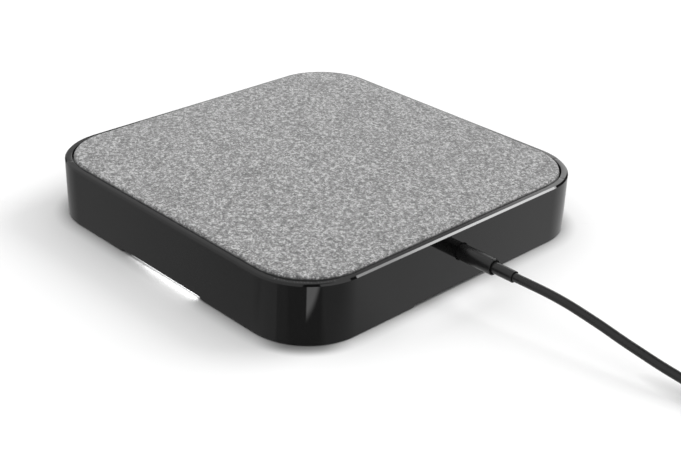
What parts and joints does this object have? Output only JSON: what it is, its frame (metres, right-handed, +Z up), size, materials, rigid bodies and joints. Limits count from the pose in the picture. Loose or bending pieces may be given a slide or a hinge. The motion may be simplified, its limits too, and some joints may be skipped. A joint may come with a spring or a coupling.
{
  "type": "wireless charging pad",
  "caption": "Square desktop wireless charging pad with a felt top, glossy dark case, underside status light, and a removable round-plug power lead.",
  "frame": {"origin": "on the supporting surface, under the middle of the pad", "axes": "+Z up through the charging surface, +X out of the side that the power lead plugs into, -Y out of the side with the status light"},
  "size_m": [0.2598, 0.1627, 0.0187],
  "materials": {
    "gloss_black": "high gloss black moulding",
    "felt_grey": "heathered grey wool felt",
    "plate_white": "satin off-white moulding",
    "tape_cream": "double-sided foam tape",
    "satin_black": "fine-textured black moulding",
    "rubber_black": "soft matt rubber",
    "screw_steel": "zinc-plated steel",
    "plate_steel": "cold-rolled steel plate",
    "film_amber": "polyimide film",
    "wire_copper": "enamelled copper strands",
    "ferrite_grey": "sintered ferrite",
    "board_green": "solder mask on glass-epoxy board",
    "chip_black": "moulded epoxy package",
    "capacitor_tan": "ceramic body with tinned ends",
    "can_aluminium": "drawn aluminium can",
    "contact_gold": "gold-plated contact",
    "led_cream": "phosphor-filled package",
    "wire_red": "insulated hook-up wire",
    "guide_frost": "frosted light pipe",
    "shell_nickel": "nickel-plated sheet",
    "socket_cream": "moulded socket",
    "tongue_white": "white insulating tongue",
    "cord_black": "soft matt cord jacket",
    "plug_black": "soft-touch overmould",
    "tie_black": "hook-and-loop strap"
  },
  "bodies": {
    "pad": {"housing": "gloss_black", "fabric_top": "felt_grey", "top_plate": "plate_white", "plate_adhesive": "tape_cream", "base_cover": "satin_black", "rubber_feet": "rubber_black", "case_screws": "screw_steel", "steel_ballast": "plate_steel", "ballast_screws": "screw_steel", "insulating_sheet": "film_amber", "charging_coil": "wire_copper", "ferrite_plate": "ferrite_grey", "coil_tray": "plate_white", "tray_screws": "screw_steel", "temperature_sensor": "chip_black", "coil_wires": "wire_copper", "main_board": "board_green", "board_screws": "screw_steel", "controller_chip": "chip_black", "power_transistors": "chip_black", "tuning_capacitors": "capacitor_tan", "choke": "ferrite_grey", "bulk_capacitors": "can_aluminium", "power_jack": "chip_black", "jack_pin": "contact_gold", "jack_spring": "contact_gold", "light_socket": "socket_cream", "light_board": "board_green", "light_screws": "screw_steel", "status_leds": "led_cream", "light_wires": "wire_red", "light_guide": "guide_frost"},
    "lead": {"barrel_sleeve": "shell_nickel", "barrel_insulator": "chip_black", "barrel_contact": "contact_gold", "plug_body": "plug_black", "strain_relief": "plug_black", "cord_run": "cord_black", "cord_bundle": "cord_black", "cord_tail": "cord_black", "cord_tie": "tie_black", "usb_relief": "plug_black", "usb_body": "plug_black", "usb_shell": "shell_nickel", "usb_tongue": "tongue_white", "usb_contacts": "contact_gold"}
  },
  "joints": [
    {"name": "plug_pull", "type": "slide", "parent": "pad", "child": "lead", "axis": [1, 0, 0], "range_m": [0, 0.012]}
  ]
}
